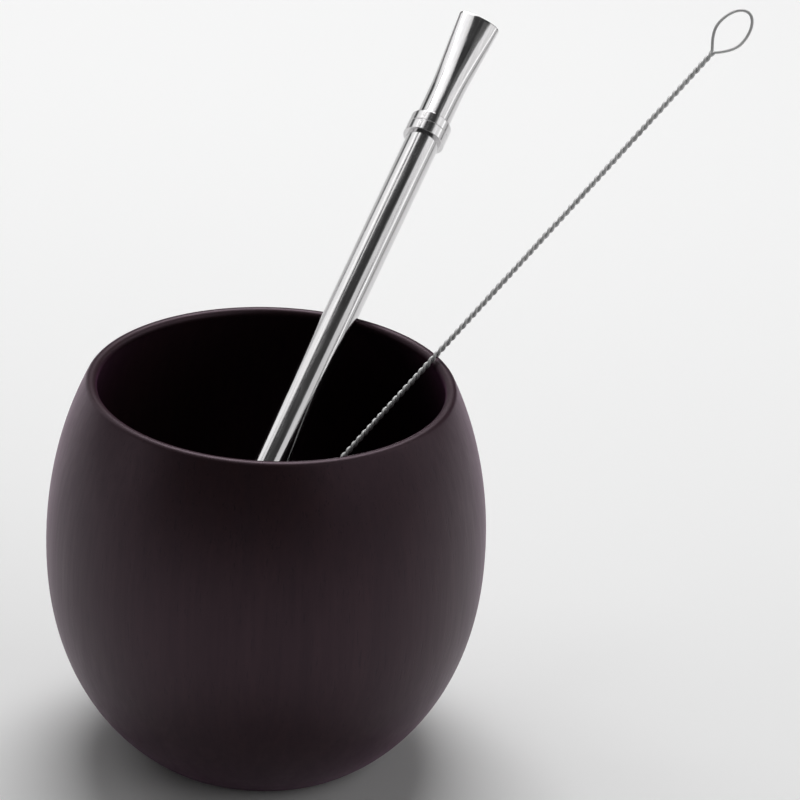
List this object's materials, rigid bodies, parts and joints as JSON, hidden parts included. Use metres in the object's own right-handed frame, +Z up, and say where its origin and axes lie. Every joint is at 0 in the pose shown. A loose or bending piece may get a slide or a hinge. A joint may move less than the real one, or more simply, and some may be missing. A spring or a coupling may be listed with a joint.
{
  "type": "wooden mate cup with straw and brush",
  "caption": "Dark stained wooden mate cup with a rounded egg-like body, a steel drinking straw with a collar and flattened mouthpiece, and the straw's twisted wire brush leaning in it.",
  "frame": {"origin": "centre of the cup's flat base, on the surface it stands on", "axes": "+Z up along the cup's axis, -Y towards the side that the picture shows, +X to the right"},
  "size_m": [0.1358, 0.1343, 0.1472],
  "materials": {
    "stained_wood": "dark brown-black stain under a satin lacquer",
    "straw_steel": "polished lengthwise",
    "wire_steel": "drawn wire",
    "nylon": "fine bristles"
  },
  "bodies": {
    "root": {"cup": "stained_wood", "straw_tube": "straw_steel", "straw_collar": "straw_steel", "straw_mouthpiece": "straw_steel", "brush_stem": "wire_steel", "brush_loop": "wire_steel", "brush_bristles": "nylon"}
  },
  "joints": []
}
